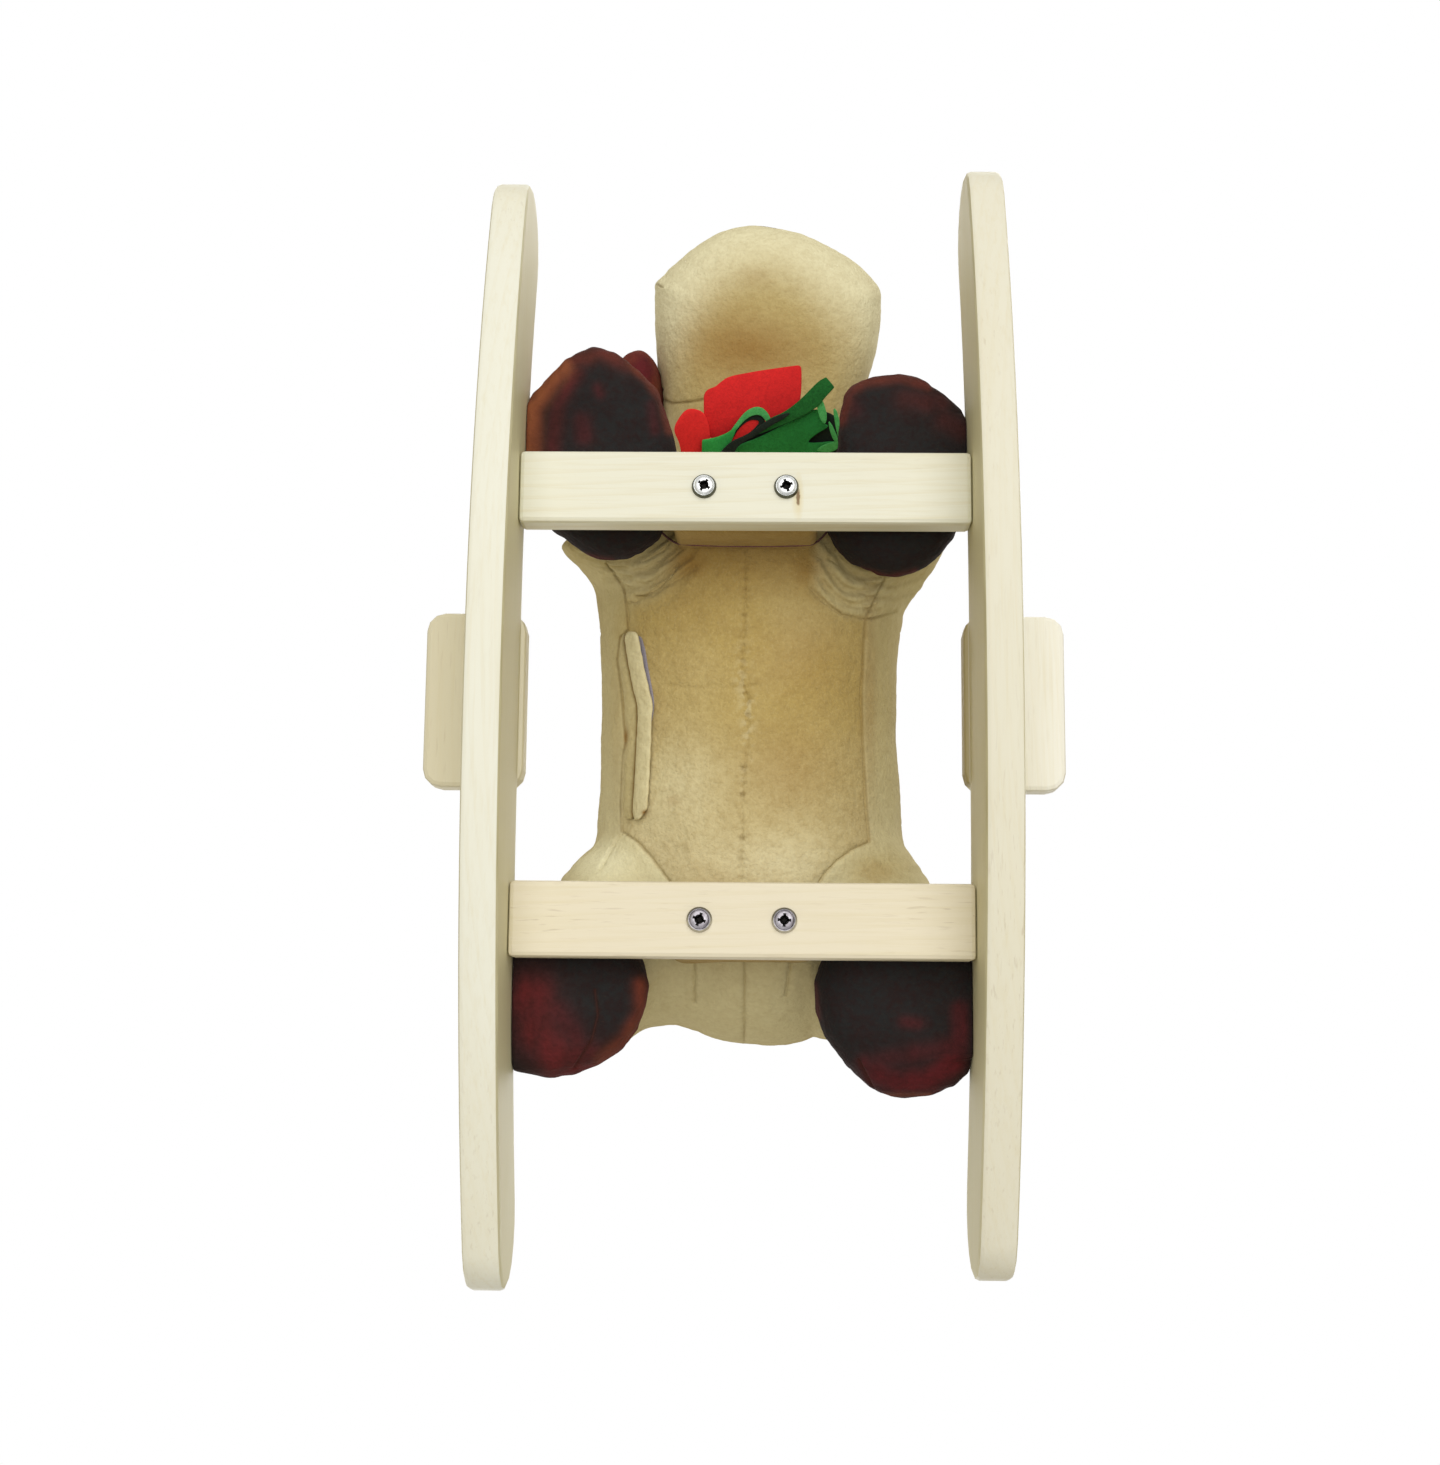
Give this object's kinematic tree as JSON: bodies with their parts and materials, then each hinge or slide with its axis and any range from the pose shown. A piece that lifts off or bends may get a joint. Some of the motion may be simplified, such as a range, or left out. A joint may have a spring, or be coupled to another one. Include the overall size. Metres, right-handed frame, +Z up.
{
  "type": "plush rocking toy",
  "caption": "Stuffed toy calf on a wooden rocker base, with footrests and a handle bar; it rocks on curved boards that carry its weight.",
  "frame": {"origin": "middle of the whole toy's footprint, on the floor that the rockers touch", "axes": "+Z up, the calf looks along -Y, +X is on the picture's right"},
  "size_m": [0.351, 0.6876, 0.4414],
  "materials": {
    "pale_wood": "sanded, clear matt lacquer",
    "birch_plywood": "raw plywood",
    "zinc_steel": "zinc plated",
    "cream_plush": "short pile plush",
    "brown_plush": "short pile plush",
    "red_felt": "felt",
    "green_felt": "felt",
    "black_plastic": "polished"
  },
  "bodies": {
    "calf_on_rockers": {"rocker_left": "pale_wood", "rocker_right": "pale_wood", "crossbar_front": "pale_wood", "crossbar_rear": "pale_wood", "footrest_left": "pale_wood", "footrest_right": "pale_wood", "post_front": "pale_wood", "post_rear": "pale_wood", "handle_dowel": "pale_wood", "joint_dowel_front_left": "pale_wood", "joint_dowel_front_right": "pale_wood", "joint_dowel_rear_left": "pale_wood", "joint_dowel_rear_right": "pale_wood", "seat_board": "birch_plywood", "neck_board": "birch_plywood", "bar_screw_front_left": "zinc_steel", "bar_screw_front_right": "zinc_steel", "bar_screw_rear_left": "zinc_steel", "bar_screw_rear_right": "zinc_steel", "cup_washer_front_left": "zinc_steel", "cup_washer_front_right": "zinc_steel", "cup_washer_rear_left": "zinc_steel", "cup_washer_rear_right": "zinc_steel", "joint_bolt_front_left": "zinc_steel", "joint_bolt_front_right": "zinc_steel", "joint_bolt_rear_left": "zinc_steel", "joint_bolt_rear_right": "zinc_steel", "seat_screw_front_left": "zinc_steel", "seat_screw_front_right": "zinc_steel", "seat_screw_rear_left": "zinc_steel", "seat_screw_rear_right": "zinc_steel", "footrest_screw_left_front": "zinc_steel", "footrest_screw_left_rear": "zinc_steel", "footrest_screw_right_front": "zinc_steel", "footrest_screw_right_rear": "zinc_steel", "neck_screw_front": "zinc_steel", "neck_screw_rear": "zinc_steel", "body": "cream_plush", "neck": "cream_plush", "head": "cream_plush", "post_sleeve_front": "cream_plush", "post_sleeve_rear": "cream_plush", "leg_front_left": "cream_plush", "leg_front_right": "cream_plush", "leg_rear_left": "cream_plush", "leg_rear_right": "cream_plush", "foot_front_left": "brown_plush", "foot_front_right": "brown_plush", "foot_rear_left": "brown_plush", "foot_rear_right": "brown_plush", "petal_large": "red_felt", "petal_small": "red_felt", "stem": "green_felt", "leaf_wide": "green_felt", "eye_left": "black_plastic", "eye_right": "black_plastic"},
    "closure_flap": {"closure_flap": "cream_plush"},
    "ear_left": {"ear_left": "brown_plush"},
    "ear_right": {"ear_right": "brown_plush"},
    "tail": {"tail": "brown_plush"}
  },
  "joints": [
    {"name": "closure_flap_hinge", "type": "hinge", "parent": "calf_on_rockers", "child": "closure_flap", "pos_m": [-0.0655, 0.03583, 0.1168], "axis": [0, 1, 0], "range_deg": [0, 110]},
    {"name": "ear_left_seam", "type": "hinge", "parent": "calf_on_rockers", "child": "ear_left", "pos_m": [-0.059, -0.22117, 0.393], "axis": [0, 1, 0], "range_deg": [0, 100]},
    {"name": "ear_right_seam", "type": "hinge", "parent": "calf_on_rockers", "child": "ear_right", "pos_m": [0.082, -0.20417, 0.393], "axis": [0, -1, 0], "range_deg": [0, 100]},
    {"name": "tail_seam", "type": "hinge", "parent": "calf_on_rockers", "child": "tail", "pos_m": [0.002, 0.17683, 0.2885], "axis": [1, 0, 0], "range_deg": [0, 75]}
  ]
}
